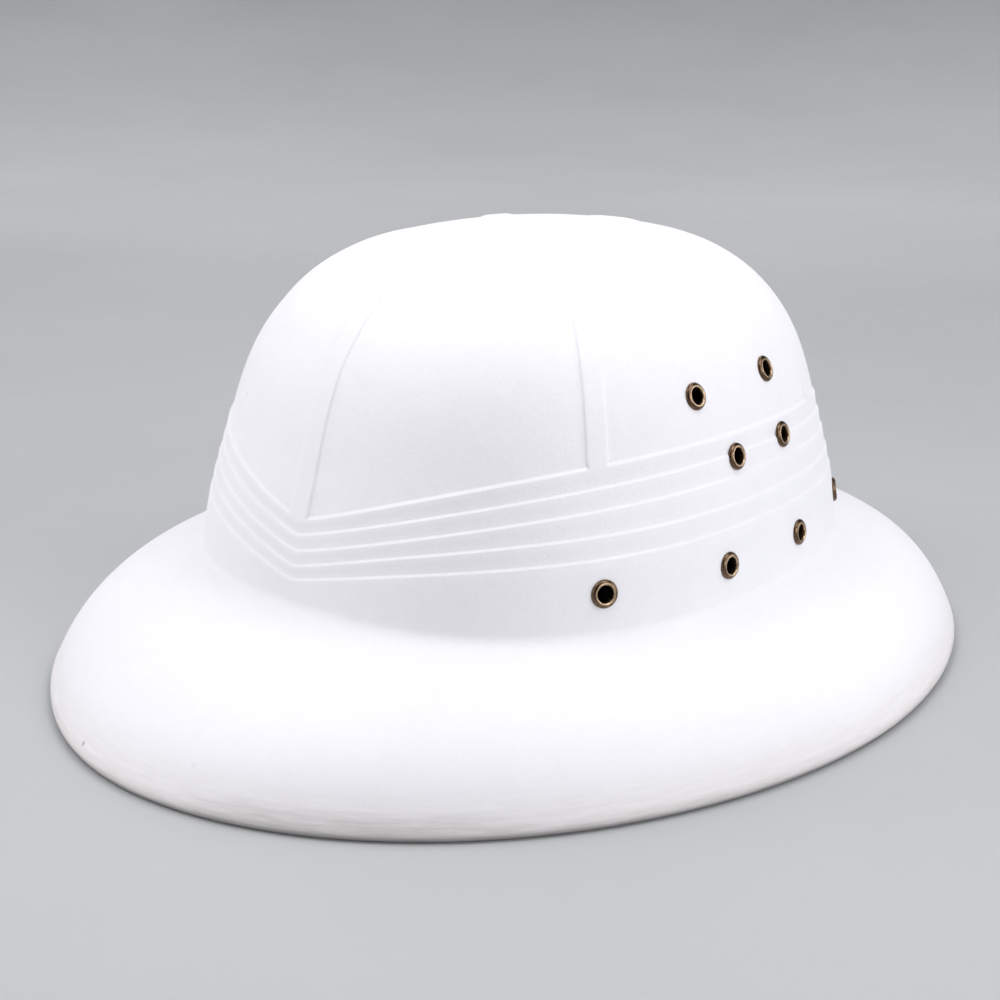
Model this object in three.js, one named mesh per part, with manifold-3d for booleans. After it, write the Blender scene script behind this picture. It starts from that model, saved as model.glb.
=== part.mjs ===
// Moulded sun helmet: one hollow shell (domed crown, pleated foot, oval brim) and brass vent eyelets.
// Millimetres. The front is -Y, the wearer's left is +X, up is +Z. The brim rests on Z = 0.

import * as THREE from 'three';
import { mergeVertices } from 'three/addons/utils/BufferGeometryUtils.js';
import Module from 'manifold-3d';

const wasm = await Module();
wasm.setup();

// ---------------------------------------------------------------- sizes

const WALL = 2.4;                       // shell thickness

const CROWN = {
  halfLength: 112.8,                    // front to back, at the foot
  halfWidth: 94.95,                     // side to side, at the foot
  exponent: 2.35,                       // 2 is an ellipse, more is squarer
  foot: 37.6,                           // height of the foot above the rim
  rise: 95.2,                           // unit of height of the profile below
  setBack: 0.8,                         // crown's middle behind the brim's middle
  stretch: 0.018,                       // the top is this much longer in proportion than the foot
  tilt: 0.008,                          // the top rises this much per millimetre towards the back
};

// Crown profile from the middle of the foot: angle up from the foot's plane, and reach as a
// share of the foot's half-size (sideways) and of the rise (upwards).
const CROWN_PROFILE = [
  { angle: 0, reach: 1.0 },
  { angle: 12, reach: 0.991 },
  { angle: 26, reach: 1.010 },
  { angle: 40, reach: 1.077 },
  { angle: 54, reach: 1.121 },
  { angle: 68, reach: 1.105 },
  { angle: 80, reach: 1.060 },
  { angle: 90, reach: 1.044 },
];

const BRIM = {
  halfLength: 174.4,
  halfWidth: 141.1,
  exponent: 1.96,
  edge: 3.3,                            // height at which the rim's roll begins
  roll: 0.417,                          // share of the fall that happens near the edge
  rollPower: 5.69,
};

const FILLET = { up: 5.5, out: 15.0 };  // hollow curve between crown and brim
const DIP = { deep: 5.7, more: 2.8, span: 30 };   // the brim dips next to the crown, more so at the sides

// Rim, from where the brim's outside ends: how far in from the outline, and height.
const RIM = [
  { inward: 0.3, height: 1.4 },
  { inward: 0.9, height: 0.4 },
  { inward: 1.6, height: 0.0 },         // flat land, outer edge
  { inward: 3.2, height: 0.0 },         // flat land, inner edge
];

const RIBS = {
  bearings: [0, 56.1, 114, 180, 246, 303.9],   // degrees from the front, turning to the left
  width: 6.8,
  bevel: 0.85,                          // width of the sloping edge
  proud: 0.3,                           // above the mean crown surface
  hubRadius: 12,                        // the ribs run together inside this
};
const PANEL_DEPTH = 0.25;               // panels between ribs, below the mean surface

// Pleat lines round the foot of the crown: height at the front and back, height at the sides,
// and how sharply the line falls to its point. Each line is a small step out, going down.
const PLEATS = [
  { front: 62.2, side: 84.1, sharpness: 2.62 },
  { front: 57.8, side: 78.2, sharpness: 2.54 },
  { front: 53.2, side: 71.7, sharpness: 2.71 },
  { front: 48.7, side: 64.0, sharpness: 3.5 },
  { front: 44.6, side: 57.45, sharpness: 3.82 },
];
const STEP = { depth: 0.42, tall: 1.15 };

const EYELET = {
  hole: 2.4, flange: 4.15, barrel: 2.75, backFlange: 3.7,   // radii
  thick: 0.85, backThick: 0.6, clearance: 0.3, sides: 10,
};

// Vent eyelets of the left side: bearing in degrees from the front, height, and the height of
// the shell's own relief that the flange has to clear there.
const EYELETS = [
  { name: 'low_1', bearing: 56.5, height: 47.5, relief: 0.2 },
  { name: 'low_2', bearing: 81.9, height: 46.7, relief: 0.2 },
  { name: 'low_3', bearing: 98.0, height: 46.8, relief: 0.2 },
  { name: 'low_4', bearing: 124.1, height: 47.6, relief: 0.2 },
  { name: 'mid_1', bearing: 86.4, height: 77.1, relief: 0.3 },
  { name: 'mid_2', bearing: 97.7, height: 78.2, relief: 0.3 },
  { name: 'top_1', bearing: 79.2, height: 97.0, relief: -PANEL_DEPTH },
  { name: 'top_2', bearing: 97.1, height: 98.8, relief: -PANEL_DEPTH },
];

const COLOURS = { shell: 0xf1f1ee, brass: 0x6e5534 };

// ---------------------------------------------------------------- curves

const RAD = Math.PI / 180;
const lerp = (a, b, t) => a + (b - a) * t;

// Smooth cubic through a table: free at its start, level at its end.
function cubicThrough(xs, ys) {
  const n = xs.length;
  const a = new Array(n).fill(0), b = new Array(n).fill(1), c = new Array(n).fill(0), d = new Array(n).fill(0);
  for (let i = 1; i < n - 1; i++) {
    const h0 = xs[i] - xs[i - 1], h1 = xs[i + 1] - xs[i];
    a[i] = h0; b[i] = 2 * (h0 + h1); c[i] = h1;
    d[i] = 6 * ((ys[i + 1] - ys[i]) / h1 - (ys[i] - ys[i - 1]) / h0);
  }
  const h = xs[n - 1] - xs[n - 2];
  a[n - 1] = h; b[n - 1] = 2 * h; d[n - 1] = -6 * (ys[n - 1] - ys[n - 2]) / h;
  for (let i = 1; i < n; i++) {
    const w = a[i] / b[i - 1];
    b[i] -= w * c[i - 1]; d[i] -= w * d[i - 1];
  }
  const m = new Array(n).fill(0);
  m[n - 1] = d[n - 1] / b[n - 1];
  for (let i = n - 2; i >= 0; i--) m[i] = (d[i] - c[i] * m[i + 1]) / b[i];
  return (x) => {
    let i = 0;
    while (i < n - 2 && x > xs[i + 1]) i++;
    const s = xs[i + 1] - xs[i], p = (xs[i + 1] - x) / s, q = (x - xs[i]) / s;
    return p * ys[i] + q * ys[i + 1] + ((p ** 3 - p) * m[i] + (q ** 3 - q) * m[i + 1]) * s * s / 6;
  };
}

const reach = cubicThrough(CROWN_PROFILE.map((r) => r.angle * RAD), CROWN_PROFILE.map((r) => r.reach));

function oval(bearing, size) {
  const c = Math.cos(bearing), s = Math.sin(bearing), e = 2 / size.exponent;
  return new THREE.Vector2(Math.sign(s) * Math.abs(s) ** e * size.halfWidth, -Math.sign(c) * Math.abs(c) ** e * size.halfLength);
}

// Mean outer surface, without ribs and pleats: crown by angle up, fillet and brim by share across.
function crownPoint(bearing, angle) {
  const o = oval(bearing, CROWN), r = reach(angle), up = r * Math.sin(angle);
  const y = o.y * r * Math.cos(angle) * (1 + CROWN.stretch * Math.sin(angle) ** 2);
  return new THREE.Vector3(o.x * r * Math.cos(angle), y + CROWN.setBack, CROWN.foot + CROWN.rise * up + CROWN.tilt * y * up * up);
}
const dip = (bearing) => DIP.deep + DIP.more * Math.sin(bearing) ** 2;
function brimPoint(bearing, share) {
  const a = oval(bearing, CROWN), b = oval(bearing, BRIM);
  a.y += CROWN.setBack;
  const fall = (1 - BRIM.roll) * share + BRIM.roll * share ** BRIM.rollPower;
  const near = Math.max(0, 1 - share * a.distanceTo(b) / DIP.span);
  return new THREE.Vector3(lerp(a.x, b.x, share), lerp(a.y, b.y, share), lerp(CROWN.foot, BRIM.edge, fall) - dip(bearing) * near ** 2);
}
function filletShare(bearing) {
  const a = oval(bearing, CROWN), b = oval(bearing, BRIM);
  return FILLET.out / a.distanceTo(b);
}
// How far below the crown's foot the wall would meet the brim, and where on the wall the fillet starts.
const corner = (bearing) => dip(bearing) * (1 - (FILLET.out / DIP.span) ** 2);
const filletAngle = (bearing) => (FILLET.up - corner(bearing)) / CROWN.rise;
function filletPoint(bearing, t) {
  const p = crownPoint(bearing, filletAngle(bearing)), q = crownPoint(bearing, -corner(bearing) / CROWN.rise);
  const r = brimPoint(bearing, filletShare(bearing));
  return p.multiplyScalar((1 - t) ** 2).add(q.multiplyScalar(2 * t * (1 - t))).add(r.multiplyScalar(t * t));
}
const brimSpan = (bearing, t) => brimPoint(bearing, lerp(filletShare(bearing), 1, t));
const crownDown = (bearing, t) => crownPoint(bearing, -t);          // so that t always grows towards the rim

function normalAt(surface, bearing, t) {
  const h = 1e-4;
  const along = surface(bearing + h, t).sub(surface(bearing - h, t));
  const down = surface(bearing, t + h).sub(surface(bearing, t - h));
  return down.cross(along).normalize();
}

// Angle up the crown at which its surface reaches a height.
function angleAtHeight(z) {
  let lo = 0, hi = 75 * RAD;
  for (let i = 0; i < 40; i++) {
    const mid = (lo + hi) / 2;
    if (CROWN.foot + CROWN.rise * reach(mid) * Math.sin(mid) < z) lo = mid; else hi = mid;
  }
  return (lo + hi) / 2;
}

function pleatHeight(line, bearing) {
  let b = Math.abs(bearing / RAD) % 360;
  if (b > 180) b = 360 - b;
  if (b > 90) b = 180 - b;
  return lerp(line.front, line.side, 1 - (1 - b / 90) ** line.sharpness);
}

// ---------------------------------------------------------------- shell

// Columns round the shell: for each rib its outer edges, its top and its middle line, and for each
// panel evenly shared columns between one rib and the next.
const PANEL_COLUMNS = [5, 7, 6, 6, 7, 5];
const columns = [];
RIBS.bearings.forEach((bearing, i) => {
  const half = RIBS.width / 2;
  for (const sideways of [-half - RIBS.bevel / 2, -half + RIBS.bevel / 2, 0, half - RIBS.bevel / 2, half + RIBS.bevel / 2]) {
    columns.push({ rib: i, sideways, onRib: Math.abs(sideways) < half });
  }
  for (let k = 1; k <= PANEL_COLUMNS[i]; k++) columns.push({ panel: i, share: k / (PANEL_COLUMNS[i] + 1), onRib: false });
});

// Bearing of a place so many millimetres to the side of a rib's middle line.
function besideRib(i, sideways, scale) {
  const at = RIBS.bearings[i] * RAD, dir = oval(at, CROWN).normalize();
  const limit = 0.36 * 55.8 * RAD;
  let lo = 0, hi = limit;
  const aim = Math.abs(sideways), sign = Math.sign(sideways);
  for (let k = 0; k < 40; k++) {
    const mid = (lo + hi) / 2, p = oval(at + sign * mid, CROWN).multiplyScalar(scale);
    if (Math.abs(dir.x * p.y - dir.y * p.x) < aim) lo = mid; else hi = mid;
  }
  return at + sign * (lo + hi) / 2;
}
function columnBearing(col, scale) {
  if (col.rib !== undefined) {
    const limited = besideRib(col.rib, col.sideways, scale);
    // where the ribs crowd together, their edges keep their order
    const most = 0.36 * 55.8 * RAD * Math.abs(col.sideways) / (RIBS.width / 2 + RIBS.bevel / 2);
    const at = RIBS.bearings[col.rib] * RAD;
    return at + Math.sign(col.sideways) * Math.min(Math.abs(limited - at), most);
  }
  const next = (col.panel + 1) % RIBS.bearings.length, edge = RIBS.width / 2 + RIBS.bevel / 2;
  const from = columnBearing({ rib: col.panel, sideways: edge }, scale);
  let to = columnBearing({ rib: next, sideways: -edge }, scale);
  if (to < from) to += 2 * Math.PI;
  return lerp(from, to, col.share);
}

// Rows from the crown's top down the outside, round the rim and up the inside.
const rows = [];
const shellRow = (place) => rows.push(columns.map(place));
const lift = (surface, bearing, t, by) => surface(bearing, t).addScaledVector(normalAt(surface, bearing, t), by);

const TOP_ANGLES = [85, 80, 73, 65, 57, 49];
for (const deg of TOP_ANGLES) {
  const angle = deg * RAD, scale = reach(angle) * Math.cos(angle);
  const hub = scale * CROWN.halfWidth < RIBS.hubRadius;
  shellRow((col) => lift(crownDown, columnBearing(col, scale), -angle, hub || col.onRib ? RIBS.proud : -PANEL_DEPTH));
}
// between the top rows and the first pleat line
const lowestTop = TOP_ANGLES[TOP_ANGLES.length - 1] * RAD;
const stepAngle = STEP.tall / 2 / CROWN.rise;
for (const share of [1 / 3, 2 / 3, 1]) {
  shellRow((col) => {
    const rough = columnBearing(col, 0.97);
    const angle = lerp(lowestTop, angleAtHeight(pleatHeight(PLEATS[0], rough)) + stepAngle, share);
    const bearing = columnBearing(col, reach(angle) * Math.cos(angle));
    return lift(crownDown, bearing, -angle, col.onRib ? RIBS.proud : -PANEL_DEPTH);
  });
}
PLEATS.forEach((line, i) => {
  const edges = i === 0 ? [{ side: -1, by: RIBS.proud }] : [{ side: 1, by: -STEP.depth / 2 }, { side: -1, by: STEP.depth / 2 }];
  for (const edge of edges) {
    shellRow((col) => {
      const bearing = columnBearing(col, 0.97);
      return lift(crownDown, bearing, -(angleAtHeight(pleatHeight(line, bearing)) + edge.side * stepAngle), edge.by);
    });
  }
});
// below the last pleat, the fillet, the brim
shellRow((col) => {
  const bearing = columnBearing(col, 0.97);
  const angle = lerp(filletAngle(bearing), angleAtHeight(pleatHeight(PLEATS[4], bearing)) - stepAngle, 0.45);
  return lift(crownDown, bearing, -angle, STEP.depth / 4);
});
for (const t of [0, 0.35, 0.7, 1]) shellRow((col) => filletPoint(columnBearing(col, 0.97), t));
for (const t of [0.25, 0.48, 0.67, 0.81, 0.91, 1]) shellRow((col) => brimSpan(columnBearing(col, 0.97), t));
for (const place of RIM) {
  shellRow((col) => {
    const bearing = columnBearing(col, 0.97), h = 1e-4;
    const o = oval(bearing, BRIM), run = oval(bearing + h, BRIM).sub(oval(bearing - h, BRIM)).normalize();
    return new THREE.Vector3(o.x - run.y * place.inward, o.y + run.x * place.inward, place.height);
  });
}
// underside and inside
for (const t of [0.985, 0.9, 0.76, 0.5, 0.2]) shellRow((col) => lift(brimSpan, columnBearing(col, 0.97), t, -WALL));
shellRow((col) => lift(filletPoint, columnBearing(col, 0.97), 0.5, -WALL));
for (const deg of [2, 9, 16, 22, 28, 34, 40, 50, 62, 74, 84]) {
  shellRow((col) => lift(crownDown, columnBearing(col, 0.97), -deg * RAD, -WALL));
}

function shellSolid() {
  const n = columns.length, positions = [], index = [];
  const apex = crownPoint(0, 90 * RAD);
  positions.push(apex.x, apex.y, apex.z + RIBS.proud);
  for (const row of rows) for (const p of row) positions.push(p.x, p.y, p.z);
  positions.push(apex.x, apex.y, apex.z - WALL);
  const at = (r, c) => 1 + r * n + (c % n), last = 1 + rows.length * n;
  for (let c = 0; c < n; c++) {
    index.push(0, at(0, c), at(0, c + 1));
    for (let r = 0; r + 1 < rows.length; r++) {
      index.push(at(r, c), at(r + 1, c), at(r + 1, c + 1), at(r, c), at(r + 1, c + 1), at(r, c + 1));
    }
    index.push(last, at(rows.length - 1, c + 1), at(rows.length - 1, c));
  }
  return new wasm.Manifold(new wasm.Mesh({ numProp: 3, vertProperties: new Float32Array(positions), triVerts: new Uint32Array(index) }));
}

function solidOf(geometry) {
  const g = geometry.clone();
  g.deleteAttribute('normal');
  g.deleteAttribute('uv');
  const m = mergeVertices(g, 1e-4);
  return new wasm.Manifold(new wasm.Mesh({
    numProp: 3, vertProperties: new Float32Array(m.attributes.position.array), triVerts: new Uint32Array(m.index.array),
  }));
}

function geometryOf(solid) {
  const mesh = solid.getMesh(), positions = new Float32Array(mesh.numVert * 3);
  for (let i = 0; i < mesh.numVert; i++) {
    for (let k = 0; k < 3; k++) positions[3 * i + k] = mesh.vertProperties[mesh.numProp * i + k];
  }
  const g = new THREE.BufferGeometry();
  g.setAttribute('position', new THREE.BufferAttribute(positions, 3));
  g.setIndex(new THREE.BufferAttribute(new Uint32Array(mesh.triVerts), 1));
  g.computeVertexNormals();
  return g;
}

// ---------------------------------------------------------------- eyelets

// Where each eyelet sits: a point of the mean surface and the direction out of it.
const seats = [];
for (const side of [{ name: 'left', sign: 1 }, { name: 'right', sign: -1 }]) {
  for (const e of EYELETS) {
    const bearing = side.sign * e.bearing * RAD, angle = angleAtHeight(e.height);
    const out = normalAt(crownDown, bearing, -angle);
    seats.push({ name: `eyelet_${side.name}_${e.name}`, point: crownPoint(bearing, angle), out, relief: e.relief });
  }
}

const UP_Y = new THREE.Vector3(0, 1, 0);
function eyeletGeometry(relief) {
  const front = relief + EYELET.clearance, back = -WALL - EYELET.clearance - 0.3, e = EYELET;
  const profile = [
    [e.barrel, back], [e.barrel, front], [e.flange, front], [e.flange - 0.1, front + e.thick * 0.5],
    [lerp(e.hole, e.flange, 0.5), front + e.thick], [e.hole, front + e.thick * 0.4],
    [e.hole, back - e.backThick], [e.backFlange, back - e.backThick], [e.backFlange, back], [e.barrel, back],
  ];
  return new THREE.LatheGeometry(profile.map(([r, h]) => new THREE.Vector2(r, h)), e.sides);
}

// ---------------------------------------------------------------- assembly

const group = new THREE.Group();

let shell = shellSolid();
for (const seat of seats) {
  const drill = new THREE.CylinderGeometry(EYELET.barrel + 0.45, EYELET.barrel + 0.45, 14, EYELET.sides);
  const turn = new THREE.Quaternion().setFromUnitVectors(UP_Y, seat.out);
  drill.applyMatrix4(new THREE.Matrix4().compose(seat.point, turn, new THREE.Vector3(1, 1, 1)));
  shell = shell.subtract(solidOf(drill));
}
const shellMesh = new THREE.Mesh(geometryOf(shell), new THREE.MeshStandardMaterial({ color: COLOURS.shell, roughness: 0.6, metalness: 0 }));
shellMesh.name = 'shell';
group.add(shellMesh);

for (const seat of seats) {
  const mesh = new THREE.Mesh(eyeletGeometry(seat.relief), new THREE.MeshStandardMaterial({ color: COLOURS.brass, roughness: 0.35, metalness: 1 }));
  mesh.name = seat.name;
  mesh.position.copy(seat.point);
  mesh.quaternion.setFromUnitVectors(UP_Y, seat.out);
  group.add(mesh);
}

export default group;
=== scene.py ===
"""Looks of a white moulded sun helmet with brass vent eyelets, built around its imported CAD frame.

The surface functions work in millimetres; objects are in metres. The front is -Y, the wearer's left is +X.
"""

import math

import bpy
import numpy as np
from mathutils import Matrix, Vector


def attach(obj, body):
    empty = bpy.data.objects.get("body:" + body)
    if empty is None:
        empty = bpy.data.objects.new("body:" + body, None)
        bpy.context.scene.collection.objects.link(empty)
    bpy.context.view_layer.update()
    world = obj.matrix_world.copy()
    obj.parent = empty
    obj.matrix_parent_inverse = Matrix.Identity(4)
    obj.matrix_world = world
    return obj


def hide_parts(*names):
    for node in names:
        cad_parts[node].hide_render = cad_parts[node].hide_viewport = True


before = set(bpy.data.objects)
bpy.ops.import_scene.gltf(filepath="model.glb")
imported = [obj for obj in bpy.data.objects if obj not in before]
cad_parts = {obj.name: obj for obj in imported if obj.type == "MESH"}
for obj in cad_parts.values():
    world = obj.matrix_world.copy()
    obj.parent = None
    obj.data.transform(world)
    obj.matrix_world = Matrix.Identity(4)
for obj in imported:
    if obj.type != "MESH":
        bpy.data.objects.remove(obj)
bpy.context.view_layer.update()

RAD = math.pi / 180
MM = 0.001

# ------------------------------------------------------------------ sizes, in millimetres

WALL = 2.4
CROWN = dict(length=112.8, width=94.95, exponent=2.35)
FOOT, RISE, SET_BACK = 37.6, 95.2, 0.8
STRETCH, TILT = 0.018, 0.008
PROFILE_ANGLE = [0, 12, 26, 40, 54, 68, 80, 90]
PROFILE_REACH = [1.0, 0.991, 1.010, 1.077, 1.121, 1.105, 1.060, 1.044]
BRIM = dict(length=174.0, width=140.7, exponent=1.96)
PRESSED = dict(at=-28.0, spread=14.0, by=0.0065)  # the brim is bent in a little at the right front
EDGE, ROLL, ROLL_POWER = 3.3, 0.417, 5.69
FILLET_UP, FILLET_OUT = 5.5, 15.0
DIP, DIP_MORE, DIP_SPAN = 5.7, 2.8, 30.0  # the brim dips next to the crown, more so at the sides

RIB_AT = [-0.2, 56.1, 114.0, 180, 246.0, 303.9]
RIB_WIDTH = np.array([7.2, 6.5, 6.5, 7.2, 6.5, 6.5])
RIB_BEVEL, RIB_PROUD, HUB = 0.85, 0.30, 12.0
PANEL_DEEP = 0.25
HALF = RIB_WIDTH / 2 + RIB_BEVEL / 2

# pleat lines: height at front and back, height at the sides, sharpness of the point
PLEATS = [
    (62.2, 84.1, 2.62),
    (57.8, 78.2, 2.54),
    (53.2, 71.7, 2.71),
    (48.7, 64.0, 3.5),
    (44.6, 57.45, 3.82),
]
STEP_DEEP, STEP_TALL = 0.42, 1.15
BAND_TALL = 1.5  # the first line is the top of the band, level with the ribs

HOLE = 2.95
# eyelets: name, bearing, height, level of the shell's relief there
EYELETS = [
    ("low_1", 56.5, 47.5, 0.06),
    ("low_2", 81.9, 46.7, 0.06),
    ("low_3", 98.0, 46.8, 0.06),
    ("low_4", 124.1, 47.6, 0.06),
    ("mid_1", 86.4, 77.1, 0.10),
    ("mid_2", 97.7, 78.2, 0.10),
    ("top_1", 79.2, 97.0, -PANEL_DEEP),
    ("top_2", 97.1, 98.8, -PANEL_DEEP),
]

# ------------------------------------------------------------------ mean surface


def cubic_through(xs, ys):
    """Smooth cubic through a table: free at its start, level at its end."""
    xs, ys = np.array(xs, float), np.array(ys, float)
    n = len(xs)
    m = np.zeros((n, n))
    d = np.zeros(n)
    m[0, 0] = 1
    for i in range(1, n - 1):
        h0, h1 = xs[i] - xs[i - 1], xs[i + 1] - xs[i]
        m[i, i - 1 : i + 2] = h0, 2 * (h0 + h1), h1
        d[i] = 6 * ((ys[i + 1] - ys[i]) / h1 - (ys[i] - ys[i - 1]) / h0)
    h = xs[-1] - xs[-2]
    m[-1, -2:] = h, 2 * h
    d[-1] = -6 * (ys[-1] - ys[-2]) / h
    k = np.linalg.solve(m, d)

    def at(x):
        x = np.asarray(x, float)
        i = np.clip(np.searchsorted(xs, x) - 1, 0, n - 2)
        s = xs[i + 1] - xs[i]
        p, q = (xs[i + 1] - x) / s, (x - xs[i]) / s
        return p * ys[i] + q * ys[i + 1] + ((p**3 - p) * k[i] + (q**3 - q) * k[i + 1]) * s * s / 6

    return at


reach = cubic_through(np.array(PROFILE_ANGLE) * RAD, PROFILE_REACH)


def oval(bearing, size):
    c, s, e = np.cos(bearing), np.sin(bearing), 2 / size["exponent"]
    x = np.sign(s) * np.abs(s) ** e * size["width"]
    y = -np.sign(c) * np.abs(c) ** e * size["length"]
    return x, y


def crown(bearing, angle):
    x, y = oval(bearing, CROWN)
    r = reach(angle)
    c, up = r * np.cos(angle), r * np.sin(angle)
    y = y * c * (1 + STRETCH * np.sin(angle) ** 2)
    return np.stack([x * c, y + SET_BACK, FOOT + RISE * up + TILT * y * up**2], -1)


def brim_outline(bearing):
    x, y = oval(bearing, BRIM)
    off = (bearing / RAD - PRESSED["at"] + 180) % 360 - 180
    k = 1 - PRESSED["by"] * np.exp(-((off / PRESSED["spread"]) ** 2))
    return x * k, y * k


def dip(bearing):
    return DIP + DIP_MORE * np.sin(bearing) ** 2


def brim(bearing, share):
    ax, ay = oval(bearing, CROWN)
    bx, by = brim_outline(bearing)
    ay = ay + SET_BACK
    fall = (1 - ROLL) * share + ROLL * share**ROLL_POWER
    near = np.clip(1 - share * np.hypot(bx - ax, by - ay) / DIP_SPAN, 0, 1)
    z = FOOT + (EDGE - FOOT) * fall - dip(bearing) * near**2
    return np.stack([ax + (bx - ax) * share, ay + (by - ay) * share, z + 0 * ax], -1)


def fillet_share(bearing):
    ax, ay = oval(bearing, CROWN)
    bx, by = brim_outline(bearing)
    return FILLET_OUT / np.hypot(bx - ax, by - ay)


def corner(bearing):
    """How far below the crown's foot the wall would meet the brim."""
    return dip(bearing) * (1 - (FILLET_OUT / DIP_SPAN) ** 2)


def fillet(bearing, t):
    p = crown(bearing, (FILLET_UP - corner(bearing)) / RISE)
    q = crown(bearing, -corner(bearing) / RISE)
    r = brim(bearing, fillet_share(bearing))
    t = np.asarray(t, float)
    if t.ndim:
        t = t[..., None]
    return p * (1 - t) ** 2 + q * 2 * t * (1 - t) + r * t * t


def brim_span(bearing, t):
    f = fillet_share(bearing)
    return brim(bearing, f + (1 - f) * t)


def crown_down(bearing, t):
    return crown(bearing, -t)


def normal(surface, bearing, t):
    h = 1e-4
    along = surface(bearing + h, t) - surface(bearing - h, t)
    down = surface(bearing, t + h) - surface(bearing, t - h)
    n = np.cross(down, along)
    return n / np.linalg.norm(n, axis=-1, keepdims=True)


def lifted(surface, bearing, t, by):
    by = np.asarray(by, float)
    if by.ndim:
        by = by[..., None]
    return surface(bearing, t) + normal(surface, bearing, t) * by


def angle_at_height(z):
    z = np.asarray(z, float)
    lo, hi = np.zeros_like(z), np.full_like(z, 75 * RAD)
    for _ in range(40):
        mid = (lo + hi) / 2
        low = FOOT + RISE * reach(mid) * np.sin(mid) < z
        lo, hi = np.where(low, mid, lo), np.where(low, hi, mid)
    return (lo + hi) / 2


def pleat_height(line, bearing):
    b = np.abs(bearing / RAD) % 360
    b = np.where(b > 180, 360 - b, b)
    b = np.where(b > 90, 180 - b, b)
    front, side, sharp = line
    return front + (side - front) * (1 - (1 - b / 90) ** sharp)


def down_the_wall(bearing, angle, distance):
    """Angle of a place so many millimetres down the crown's wall from another."""
    h = 1e-3
    per = np.linalg.norm(crown(bearing, angle + h) - crown(bearing, angle - h), axis=-1) / (2 * h)
    return angle - distance / per


# ------------------------------------------------------------------ columns round the shell

PANEL_COLUMNS = [44, 52, 50, 50, 52, 44]
BEVEL_COLUMNS = 7
TOP_COLUMNS = 5

col_rib, col_side, col_panel, col_share = [], [], [], []
for rib, columns in enumerate(PANEL_COLUMNS):
    across = np.linspace(0, 1, BEVEL_COLUMNS)
    half = HALF[rib]
    inner = half - RIB_BEVEL
    places = list(-half + RIB_BEVEL * across)
    places += list(np.linspace(-inner, inner, TOP_COLUMNS + 2)[1:-1])
    places += list(inner + RIB_BEVEL * across)
    for s in places:
        col_rib.append(rib), col_side.append(s), col_panel.append(-1), col_share.append(0)
    for k in range(1, columns + 1):
        col_rib.append(-1), col_side.append(0), col_panel.append(rib), col_share.append(k / (columns + 1))
col_rib, col_side = np.array(col_rib), np.array(col_side)
col_panel, col_share = np.array(col_panel), np.array(col_share)
COLUMNS = len(col_rib)
ON_RIB = col_rib >= 0
RIB_BEARING = np.array(RIB_AT) * RAD


def beside_rib(rib, side, scale):
    """Bearing of a place so many millimetres to the side of a rib's middle line."""
    at = RIB_BEARING[rib]
    dx, dy = oval(at, CROWN)
    length = np.hypot(dx, dy)
    dx, dy = dx / length, dy / length
    sign, aim = np.sign(side), np.abs(side)
    limit = 0.36 * 55.8 * RAD
    lo, hi = np.zeros_like(at), np.full_like(at, limit)
    for _ in range(36):
        mid = (lo + hi) / 2
        x, y = oval(at + sign * mid, CROWN)
        near = np.abs(dx * y - dy * x) * scale < aim
        lo, hi = np.where(near, mid, lo), np.where(near, hi, mid)
    turn = np.minimum((lo + hi) / 2, limit * aim / HALF[rib])
    return at + sign * turn


def bearings(scale):
    scale = np.broadcast_to(np.asarray(scale, float), (COLUMNS,))
    out = np.zeros(COLUMNS)
    r = ON_RIB
    out[r] = beside_rib(col_rib[r], col_side[r], scale[r])
    p = ~ON_RIB
    nxt = (col_panel[p] + 1) % len(RIB_AT)
    a = beside_rib(col_panel[p], HALF[col_panel[p]], scale[p])
    b = beside_rib(nxt, -HALF[nxt], scale[p])
    b = np.where(b < a, b + 2 * math.pi, b)
    out[p] = a + (b - a) * col_share[p]
    return out


# ------------------------------------------------------------------ relief


def rounded(u):
    """0 to 1 with a soft bend at both ends."""
    u = np.clip(u, 0, 1)
    return u * u * (3 - 2 * u)


rib_mask = np.where(ON_RIB, rounded((HALF[col_rib] - np.abs(col_side)) / RIB_BEVEL), 0.0)

# ------------------------------------------------------------------ rows, from the top down the outside, round the rim and up the inside

rows = []
low_bearing = bearings(0.97)
line_angle = [angle_at_height(pleat_height(p, low_bearing)) for p in PLEATS]

# crown above the first line
hub_rows = [1.2, 2.6, 4.4, 6.6, 9.0, 10.6, 11.45, 11.65, 11.85, 12.05, 12.25, 12.45, 12.65, 13.6]
grid = np.linspace(89.9, 40, 4000) * RAD
plan = reach(grid) * np.cos(grid) * CROWN["width"]
hub_angles = np.interp(hub_rows, plan, grid)
top_angles = list(hub_angles) + list(np.linspace(hub_angles[-1], 40 * RAD, 35)[1:])
for angle in top_angles:
    scale = float(reach(angle) * np.cos(angle))
    hub = rounded((HUB + RIB_BEVEL / 2 - scale * CROWN["width"]) / RIB_BEVEL)
    mask = 1 - (1 - rib_mask) * (1 - hub)
    rows.append(lifted(crown_down, bearings(scale), -angle, -PANEL_DEEP + (PANEL_DEEP + RIB_PROUD) * mask))
above = down_the_wall(low_bearing, line_angle[0], -0.9)
for share in np.linspace(0, 1, 21)[1:]:
    angle = 40 * RAD + (above - 40 * RAD) * share
    b = bearings(reach(angle) * np.cos(angle))
    angle = 40 * RAD + (down_the_wall(b, angle_at_height(pleat_height(PLEATS[0], b)), -0.9) - 40 * RAD) * share
    rows.append(lifted(crown_down, b, -angle, -PANEL_DEEP + (PANEL_DEEP + RIB_PROUD) * rib_mask))

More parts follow.
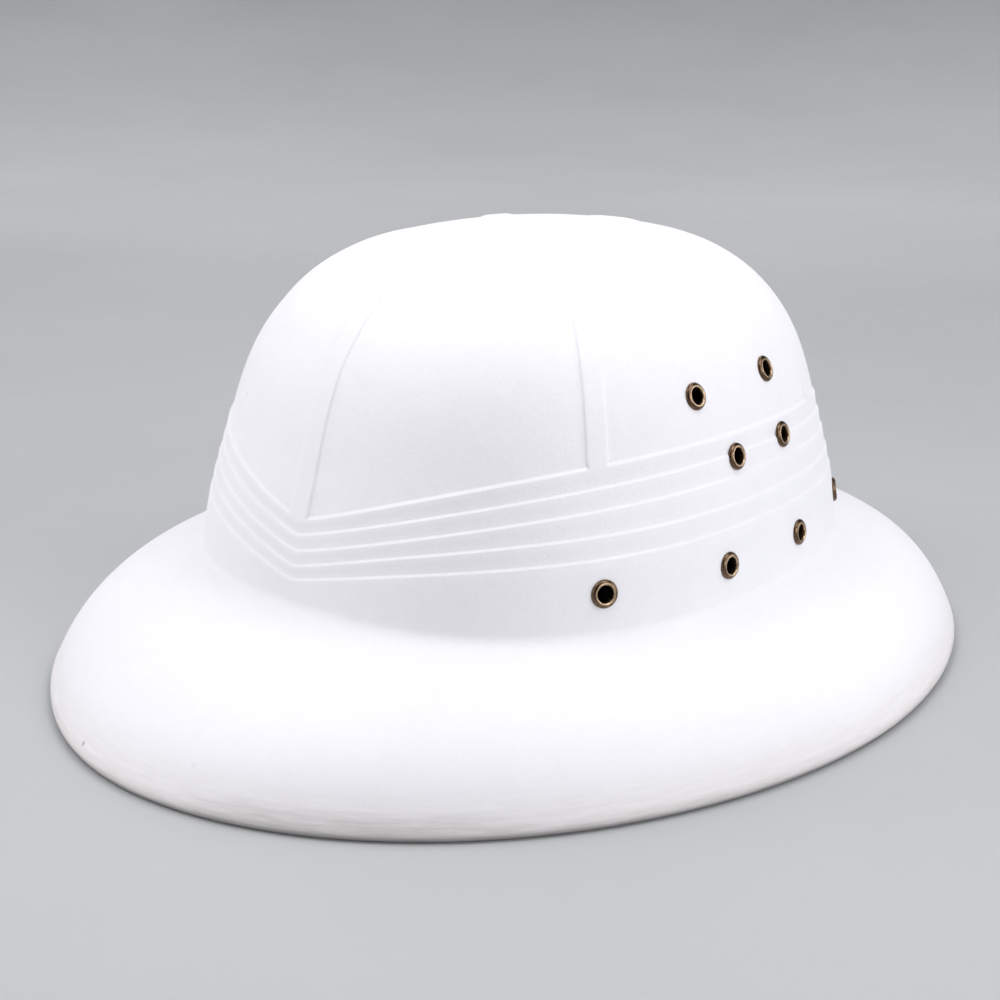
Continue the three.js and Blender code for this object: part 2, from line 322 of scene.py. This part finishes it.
# the pleated band
STEP_ROWS = [0.0, 0.12, 0.25, 0.375, 0.5, 0.625, 0.75, 0.88, 1.0]  # shares of a step's height, which the line halves
for i, line in enumerate(PLEATS):
    tall = BAND_TALL if i == 0 else STEP_TALL
    b = low_bearing
    for u in STEP_ROWS:
        angle = down_the_wall(b, line_angle[i], (u - 0.5) * tall)
        g = float(rounded(u))
        if i == 0:
            by = -PANEL_DEEP + (PANEL_DEEP + RIB_PROUD) * (1 - (1 - rib_mask) * (1 - g))
        else:
            by = -STEP_DEEP / 2 + STEP_DEEP * g
        rows.append(lifted(crown_down, b, -angle, by))
    # from this line's fold to just above the next line, or to the fillet
    start = down_the_wall(b, line_angle[i], 0.5 * tall)
    top_by = RIB_PROUD if i == 0 else STEP_DEEP / 2
    if i + 1 < len(PLEATS):
        end = down_the_wall(b, line_angle[i + 1], -0.5 * STEP_TALL)
        for share in (0.33, 0.67):
            rows.append(lifted(crown_down, b, -(start + (end - start) * share), top_by + (-STEP_DEEP / 2 - top_by) * share))
    else:
        for share in (0.16, 0.32, 0.48, 0.64, 0.82):
            end = (FILLET_UP - corner(b)) / RISE
            rows.append(lifted(crown_down, b, -(start + (end - start) * share), top_by * (1 - share) ** 2))

# fillet and brim
for t in np.linspace(0, 1, 15):
    rows.append(fillet(low_bearing, float(t)))
for t in 1 - (1 - np.linspace(0, 1, 37)[1:]) ** 1.25:
    rows.append(brim_span(low_bearing, float(t)))

# rim: the roll goes on round to a narrow flat land on the ground, then turns up inside
ax, ay = oval(low_bearing, CROWN)
bx, by_ = brim_outline(low_bearing)
ex, ey = bx - ax, by_ - ay - SET_BACK
span = np.hypot(ex, ey)
ex, ey = ex / span, ey / span
theta0 = np.arctan2((FOOT - EDGE) * ((1 - ROLL) + ROLL * ROLL_POWER), span)
radius = EDGE / (1 + np.cos(theta0))
for share in np.linspace(0, 1, 15)[1:]:
    theta = theta0 + (math.pi - theta0) * share
    out = radius * (np.sin(theta) - np.sin(theta0))
    rows.append(np.stack([bx + ex * out, by_ + ey * out, EDGE + radius * (np.cos(theta) - np.cos(theta0))], -1))
land = -radius * np.sin(theta0)
for inward, height in ((0.7, 0.0), (1.3, 0.0), (1.55, 0.06), (1.75, 0.22), (1.88, 0.55), (2.0, 1.4), (2.15, 3.0)):
    rows.append(np.stack([bx + ex * (land - inward), by_ + ey * (land - inward), np.full(COLUMNS, height)], -1))

# underside of the brim and inside of the crown
for t in (0.94, 0.92, 0.89, 0.85, 0.8, 0.74, 0.66, 0.57, 0.47, 0.36, 0.24, 0.12, 0.0):
    rows.append(lifted(brim_span, low_bearing, t, -WALL))
for t in (0.85, 0.7, 0.55, 0.4, 0.25, 0.1):
    rows.append(lifted(fillet, low_bearing, t, -WALL))
for deg in (5, 8, 12, 16, 20, 25, 30, 35, 40, 45, 50, 55, 60, 65, 70, 74, 78, 82, 85, 87.5):
    angle = deg * RAD
    rows.append(lifted(crown_down, bearings(max(0.3, float(reach(angle) * np.cos(angle)))), -angle, -WALL))


def link(obj):
    bpy.context.scene.collection.objects.link(obj)
    return obj


def mesh_from(name, verts_mm, faces):
    mesh = bpy.data.meshes.new(name)
    mesh.from_pydata((np.asarray(verts_mm) * MM).tolist(), [], faces)
    mesh.polygons.foreach_set("use_smooth", np.ones(len(mesh.polygons), bool))
    mesh.update()
    return mesh


def shell_mesh():
    top = crown(np.zeros(1), np.full(1, 90 * RAD))[0]
    verts = np.concatenate([[top + [0, 0, RIB_PROUD]], np.concatenate(rows), [top - [0, 0, WALL]]])
    n, last = COLUMNS, 1 + len(rows) * COLUMNS
    faces = []
    for c in range(n):
        d = (c + 1) % n
        faces.append((0, 1 + c, 1 + d))
        for r in range(len(rows) - 1):
            a = 1 + r * n
            faces.append((a + c, a + n + c, a + n + d, a + d))
        z = 1 + (len(rows) - 1) * n
        faces.append((last, z + d, z + c))
    return mesh_from("sun_helmet_shell", verts, faces)


# ------------------------------------------------------------------ eyelets


def seats():
    for side, sign in (("left", 1), ("right", -1)):
        for name, bearing, height, level in EYELETS:
            b = np.array([sign * bearing * RAD])
            angle = angle_at_height(np.array([height]))
            point = crown(b, angle)[0]
            out = normal(crown_down, b, -angle)[0]
            yield f"eyelet_{side}_{name}", point, out, level


def lathe(profile, segments, closed=True):
    """Closed (radius, height) profile turned about Z, in millimetres."""
    n = len(profile)
    verts, faces = [], []
    for k in range(segments):
        a = 2 * math.pi * k / segments
        verts += [(r * math.cos(a), r * math.sin(a), h) for r, h in profile]
    for k in range(segments):
        j = (k + 1) % segments
        for i in range(n):
            m = (i + 1) % n
            faces.append((k * n + i, j * n + i, j * n + m, k * n + m))
    return verts, faces


def eyelet_profile(level):
    front = [
        (2.78, -0.25), (4.02, -0.25), (4.13, -0.1), (4.18, 0.08), (4.16, 0.26), (4.07, 0.46), (3.92, 0.66), (3.71, 0.85),
        (3.46, 1.01), (3.2, 1.11), (2.98, 1.14), (2.81, 1.1), (2.69, 1.01), (2.6, 0.86), (2.54, 0.64), (2.51, 0.35), (2.5, 0.0),
    ]
    back = [
        (2.49, -1.2), (2.49, -WALL - 0.1), (2.52, -WALL - 0.34), (2.62, -WALL - 0.55), (2.8, -WALL - 0.7), (3.04, -WALL - 0.74),
        (3.3, -WALL - 0.68), (3.53, -WALL - 0.5), (3.67, -WALL - 0.26), (3.7, -WALL - 0.02), (3.56, -WALL + 0.1), (2.78, -WALL + 0.1),
    ]
    return [(r, h + level) for r, h in front] + back


def placed(point, out):
    turn = Vector(out).to_track_quat("Z", "Y").to_matrix().to_4x4()
    return Matrix.Translation(Vector(point) * MM) @ turn


# ------------------------------------------------------------------ materials


class Nodes:
    def __init__(self, name):
        self.material = bpy.data.materials.new(name)
        self.material.use_nodes = True
        self.tree = self.material.node_tree
        self.tree.nodes.clear()
        self.output = self.tree.nodes.new("ShaderNodeOutputMaterial")
        self.bsdf = self.tree.nodes.new("ShaderNodeBsdfPrincipled")
        self.tree.links.new(self.bsdf.outputs["BSDF"], self.output.inputs["Surface"])
        self.place = self.tree.nodes.new("ShaderNodeTexCoord").outputs["Object"]

    def set(self, socket, value):
        if hasattr(value, "is_linked"):
            self.tree.links.new(value, socket)
        else:
            socket.default_value = value

    def math(self, operation, a, b=0.0, clamp=False):
        n = self.tree.nodes.new("ShaderNodeMath")
        n.operation, n.use_clamp = operation, clamp
        self.set(n.inputs[0], a)
        self.set(n.inputs[1], b)
        return n.outputs[0]

    def vector(self, operation, a, b=(0, 0, 0)):
        n = self.tree.nodes.new("ShaderNodeVectorMath")
        n.operation = operation
        self.set(n.inputs[0], a)
        self.set(n.inputs[1], b)
        return n.outputs["Value"] if operation in ("LENGTH", "DISTANCE", "DOT_PRODUCT") else n.outputs["Vector"]

    def noise(self, scale, detail=2.0, rough=0.5, place=None):
        n = self.tree.nodes.new("ShaderNodeTexNoise")
        self.set(n.inputs["Vector"], place or self.place)
        n.inputs["Scale"].default_value = scale
        n.inputs["Detail"].default_value = detail
        n.inputs["Roughness"].default_value = rough
        return n.outputs["Fac"]

    def voronoi(self, scale):
        n = self.tree.nodes.new("ShaderNodeTexVoronoi")
        self.set(n.inputs["Vector"], self.place)
        n.inputs["Scale"].default_value = scale
        return n.outputs["Distance"], n.outputs["Color"]

    def span(self, value, low, high, to_low=0.0, to_high=1.0, smooth=False):
        n = self.tree.nodes.new("ShaderNodeMapRange")
        n.interpolation_type = "SMOOTHSTEP" if smooth else "LINEAR"
        n.clamp = True
        self.set(n.inputs["Value"], value)
        for key, v in (("From Min", low), ("From Max", high), ("To Min", to_low), ("To Max", to_high)):
            n.inputs[key].default_value = v
        return n.outputs["Result"]

    def mix(self, factor, a, b):
        n = self.tree.nodes.new("ShaderNodeMix")
        n.data_type = "RGBA"
        self.set(n.inputs["Factor"], factor)
        colours = [s for s in n.inputs if s.type == "RGBA"]
        for socket, value in zip(colours, (a, b)):
            self.set(socket, value if hasattr(value, "is_linked") else (*value, 1))
        return [s for s in n.outputs if s.type == "RGBA"][0]

    def xyz(self, v):
        n = self.tree.nodes.new("ShaderNodeSeparateXYZ")
        self.set(n.inputs[0], v)
        return n.outputs

    def bump(self, height, strength, distance, after=None):
        n = self.tree.nodes.new("ShaderNodeBump")
        n.inputs["Strength"].default_value = strength
        n.inputs["Distance"].default_value = distance
        self.set(n.inputs["Height"], height)
        if after is not None:
            self.set(n.inputs["Normal"], after)
        return n.outputs["Normal"]


# small knocks on the brim: place, radius and strength
KNOCKS = [(-24.6, -169.6, 5.2, 1.05, 0.60), (19.2, -166.1, 11.6, 0.95, 0.13)]


def shell_material():
    m = Nodes("moulded_white")
    wide = m.noise(13, 2)
    middle = m.noise(150, 3)
    grain = m.noise(900, 1)
    tone = m.math("ADD", m.math("MULTIPLY", wide, 0.5), m.math("ADD", m.math("MULTIPLY", middle, 0.25), m.math("MULTIPLY", grain, 0.25)))
    colour = m.mix(m.span(tone, 0.35, 0.65), (0.828, 0.819, 0.868), (0.866, 0.857, 0.904))
    # the rim is a little warmer and greyer towards the bottom, in streaks along the edge: partly handling marks, partly
    # painted shade where the roll turns down
    across, length, height = m.xyz(m.place)[:3]
    along = m.vector("MULTIPLY", m.place, (1.0, 1.0, 13.0))
    streak = m.span(m.noise(75, 3, 0.6, along), 0.36, 0.64, 0.50, 1.0)
    rim = m.math("MULTIPLY", m.span(height, 0.0165, 0.001, 0.0, 0.75, True), streak)
    colour = m.mix(rim, colour, (0.730, 0.685, 0.684))
    # painted shade: the low left front of the rim is darkened to grey, in streaks
    low_front_rim_shade = m.math("MULTIPLY", m.span(across, 0.015, 0.040, 0.0, 1.0, True), m.span(across, 0.108, 0.078, 0.0, 1.0, True))
    low_front_rim_shade = m.math("MULTIPLY", low_front_rim_shade, m.span(length, -0.09, -0.11, 0.0, 0.5, True))
    low_front_rim_shade = m.math("MULTIPLY", low_front_rim_shade, m.span(height, 0.0084, 0.0050, 0.0, 1.0, True))
    colour = m.mix(m.math("MULTIPLY", low_front_rim_shade, streak), colour, (0.46, 0.435, 0.435))
    # painted shade under the roll: the lowest few millimetres of the rim are darkened, and the last millimetre or so
    # nearly to dark grey, for the shadow where it meets the floor
    edge = m.math("MULTIPLY", m.span(height, 0.0052, 0.0022, 0.0, 0.6, True), streak)
    colour = m.mix(edge, colour, (0.50, 0.465, 0.455))
    colour = m.mix(m.span(height, 0.0026, 0.0009, 0.0, 0.7, True), colour, (0.26, 0.24, 0.235))
    # a few specks and rubbed places
    near, which = m.voronoi(75)
    speck = m.math("MULTIPLY", m.span(near, 0.016, 0.03, 1.0, 0.0), m.span(m.xyz(which)[0], 0.90, 0.92))
    colour = m.mix(m.math("MULTIPLY", speck, 0.55), colour, (0.42, 0.40, 0.39))
    for x, y, z, wide, deep in KNOCKS:
        apart = m.vector("LENGTH", m.vector("SUBTRACT", m.place, (x * MM, y * MM, z * MM)))
        colour = m.mix(m.span(apart, wide * MM, 0.45 * wide * MM, 0.0, deep, True), colour, (0.36, 0.33, 0.33))
    rub = m.span(m.noise(28, 3, 0.62), 0.60, 0.74, 0.0, 0.35, True)
    colour = m.mix(rub, colour, (0.79, 0.783, 0.822))
    m.set(m.bsdf.inputs["Base Color"], colour)
    m.set(m.bsdf.inputs["Roughness"], m.span(middle, 0.3, 0.7, 0.5, 0.62))
    # the stipple is finer on the brim than on the crown
    strong = m.span(height, 0.022, 0.040, 0.5, 1.0, True)
    stipple = m.math("MULTIPLY", m.span(m.noise(1500, 1), 0.46, 0.72, 0, 1, True), strong)
    fine = m.bump(stipple, 0.7, 0.00003)
    m.set(m.bsdf.inputs["Normal"], m.bump(m.math("MULTIPLY", m.noise(420, 2), strong), 0.5, 0.00008, fine))
    return m.material


def brass_material():
    m = Nodes("antique_brass")
    x, y, z = m.xyz(m.place)[:3]
    flat = m.tree.nodes.new("ShaderNodeCombineXYZ")
    m.set(flat.inputs[0], x)
    m.set(flat.inputs[1], y)
    r = m.vector("LENGTH", flat.outputs[0])
    patches = m.noise(900, 4, 0.6)
    fine = m.noise(3200, 3)
    # worn bright on the roll next to the hole and just inside it, dark brown on the outer slope
    ring = m.math("MULTIPLY", m.span(z, -0.0011, -0.0002, 0, 1, True), m.span(r, 0.00285, 0.00345, 1, 0, True))
    worn = m.math("MULTIPLY", ring, m.span(patches, 0.35, 0.6, 0.45, 1.0))
    dark = m.mix(m.span(fine, 0.35, 0.65), (0.080, 0.050, 0.033), (0.175, 0.113, 0.072))
    dark = m.mix(m.span(patches, 0.5, 0.68, 0.0, 0.55, True), dark, (0.29, 0.195, 0.12))
    colour = m.mix(worn, dark, (0.57, 0.42, 0.285))
    m.set(m.bsdf.inputs["Base Color"], colour)
    m.bsdf.inputs["Metallic"].default_value = 1.0
    m.set(m.bsdf.inputs["Roughness"], m.span(fine, 0.3, 0.7, 0.20, 0.36))
    m.set(m.bsdf.inputs["Normal"], m.bump(patches, 0.4, 0.00008))
    return m.material


def floor_material():
    m = Nodes("pale_floor")
    m.set(m.bsdf.inputs["Base Color"], m.mix(m.span(m.noise(3, 2), 0.3, 0.7), (0.44, 0.452, 0.47), (0.47, 0.48, 0.495)))
    m.set(m.bsdf.inputs["Roughness"], m.span(m.noise(40, 1), 0.3, 0.7, 0.72, 0.82))
    m.set(m.bsdf.inputs["Normal"], m.bump(m.noise(900, 1), 0.2, 0.0002))
    return m.material


# ------------------------------------------------------------------ pieces

white = shell_material()
brass = brass_material()

shell = link(bpy.data.objects.new("sun_helmet_shell", shell_mesh()))
drills = []
for name, point, out, level in seats():
    verts, faces = [], []
    n = 40
    for h in (-7, 7):
        verts += [(HOLE * math.cos(2 * math.pi * k / n), HOLE * math.sin(2 * math.pi * k / n), h) for k in range(n)]
    faces = [(k, (k + 1) % n, n + (k + 1) % n, n + k) for k in range(n)]
    faces += [tuple(range(n))[::-1], tuple(range(n, 2 * n))]
    mesh = mesh_from("drill", verts, faces)
    mesh.transform(placed(point, out))
    drills.append(mesh)
all_verts = np.concatenate([[list(v.co) for v in d.vertices] for d in drills])
all_faces, shift = [], 0
for d in drills:
    all_faces += [tuple(i + shift for i in p.vertices) for p in d.polygons]
    shift += len(d.vertices)
drill = link(bpy.data.objects.new("drill", mesh_from("drill_all", all_verts / MM, all_faces)))
cut = shell.modifiers.new("holes", "BOOLEAN")
cut.operation, cut.object, cut.solver = "DIFFERENCE", drill, "MANIFOLD"
bpy.context.view_layer.update()
holed = bpy.data.meshes.new_from_object(shell.evaluated_get(bpy.context.evaluated_depsgraph_get()))
shell.modifiers.clear()
shell.data = holed
shell.data.name = "sun_helmet_shell"
bpy.data.objects.remove(drill)
shell.data.polygons.foreach_set("use_smooth", np.ones(len(shell.data.polygons), bool))
shell.data.set_sharp_from_angle(angle=50 * RAD)
shell.data.materials.clear()
shell.data.materials.append(white)
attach(shell, "root")
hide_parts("shell")

for name, point, out, level in seats():
    verts, faces = lathe(eyelet_profile(level), 56)
    eyelet = link(bpy.data.objects.new(name + "_brass", mesh_from(name + "_brass", verts, faces)))
    eyelet.data.materials.append(brass)
    eyelet.matrix_world = placed(point, out)
    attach(eyelet, "root")
    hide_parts(name)

# ------------------------------------------------------------------ floor, light and camera


def floor_mesh():
    profile = [(0.0, 0.0), (0.4, 0.0), (0.9, 0.0), (1.6, 0.0)]
    profile += [(1.6 + 2.6 * t, 1.1 * t * t) for t in np.linspace(0, 1, 13)[1:]]
    n = 72
    verts = [(0, 0, 0)] + [(r * math.cos(2 * math.pi * k / n), r * math.sin(2 * math.pi * k / n), z) for r, z in profile[1:] for k in range(n)]
    faces = [(0, 1 + k, 1 + (k + 1) % n) for k in range(n)]
    for i in range(len(profile) - 2):
        a, b = 1 + i * n, 1 + (i + 1) * n
        faces += [(a + k, b + k, b + (k + 1) % n, a + (k + 1) % n) for k in range(n)]
    return mesh_from("floor", np.array(verts) / MM, faces)


floor = link(bpy.data.objects.new("floor", floor_mesh()))
floor.data.materials.append(floor_material())

# soft lights: name, azimuth from the front towards the wearer's left, elevation, distance, width, height, watts, spread
LIGHTS = [
    ("top_back", 219, 55, 1.3, 1.0, 1.0, 7.5, 180),
    ("left_top", -20, 61.3, 0.676, 0.4, 0.4, 1.91, 180),
    ("right_top", 100, 61.3, 0.676, 0.4, 0.4, 1.72, 180),
    ("left_low", -55, 15, 1.3, 0.9, 0.7, 1.53, 80),
    ("right_low", 130, 15, 1.3, 0.9, 0.7, 1.08, 80),
    ("left_front", -10, 20, 1.3, 0.7, 0.7, 0.39, 80),
    ("right_front", 85, 20, 1.3, 0.7, 0.7, 1.18, 80),
]
AIM = Vector((0, 0, 0.06))
for name, az, el, far, wide, tall, watts, spread in LIGHTS:
    data = bpy.data.lights.new(name, "AREA")
    data.shape, data.size, data.size_y = "RECTANGLE", wide, tall
    data.energy, data.spread = watts, spread * RAD
    lamp = link(bpy.data.objects.new(name, data))
    a, e = az * RAD, el * RAD
    way = Vector((math.sin(a) * math.cos(e), -math.cos(a) * math.cos(e), math.sin(e)))
    lamp.location = AIM + way * far
    lamp.rotation_mode = "QUATERNION"
    lamp.rotation_quaternion = way.to_track_quat("Z", "Y")
    lamp.visible_camera = False

# lights turned away from the object, for the floor's far part
for k in range(6):
    data = bpy.data.lights.new(f"floor_wash_{k}", "AREA")
    data.shape, data.size, data.size_y = "RECTANGLE", 1.4, 1.0
    data.energy = 23.0
    lamp = link(bpy.data.objects.new(f"floor_wash_{k}", data))
    a = (39.254 + 30 + 60 * k) * RAD
    lamp.location = (1.45 * math.sin(a), -1.45 * math.cos(a), 1.5)
    lamp.rotation_mode = "QUATERNION"
    lamp.rotation_quaternion = Vector((-math.sin(a), math.cos(a), 0.9)).to_track_quat("Z", "Y")
    lamp.visible_camera = False

AMBIENT = 0.05
world = bpy.data.worlds.new("studio")
world.use_nodes = True
background = world.node_tree.nodes["Background"]
background.inputs["Color"].default_value = (0.97, 0.98, 1.0, 1)
background.inputs["Strength"].default_value = AMBIENT
bpy.context.scene.world = world

CAMERA_AZ, CAMERA_EL, CAMERA_FAR, CAMERA_ROLL = 39.254 * RAD, 17.354 * RAD, 538.422, 0.809 * RAD
back = Vector((math.sin(CAMERA_AZ) * math.cos(CAMERA_EL), -math.cos(CAMERA_AZ) * math.cos(CAMERA_EL), math.sin(CAMERA_EL)))
right = Vector((math.cos(CAMERA_AZ), math.sin(CAMERA_AZ), 0))
up = back.cross(right)
target = Vector((0, SET_BACK, 65.8)) + right * -10.144 + up * -22.063
turned_right = right * math.cos(CAMERA_ROLL) + up * math.sin(CAMERA_ROLL)
turned_up = up * math.cos(CAMERA_ROLL) - right * math.sin(CAMERA_ROLL)
camera = link(bpy.data.objects.new("camera", bpy.data.cameras.new("camera")))
camera.matrix_world = Matrix.Translation((target + back * CAMERA_FAR) * MM) @ Matrix((turned_right, turned_up, back)).transposed().to_4x4()
camera.data.sensor_width = 36
camera.data.lens = 36 * 2.927 * CAMERA_FAR / 1000
camera.data.clip_start, camera.data.clip_end = 0.02, 50
bpy.context.scene.camera = camera

bpy.context.scene.view_settings.view_transform = "Standard"
bpy.context.scene.view_settings.look = "None"
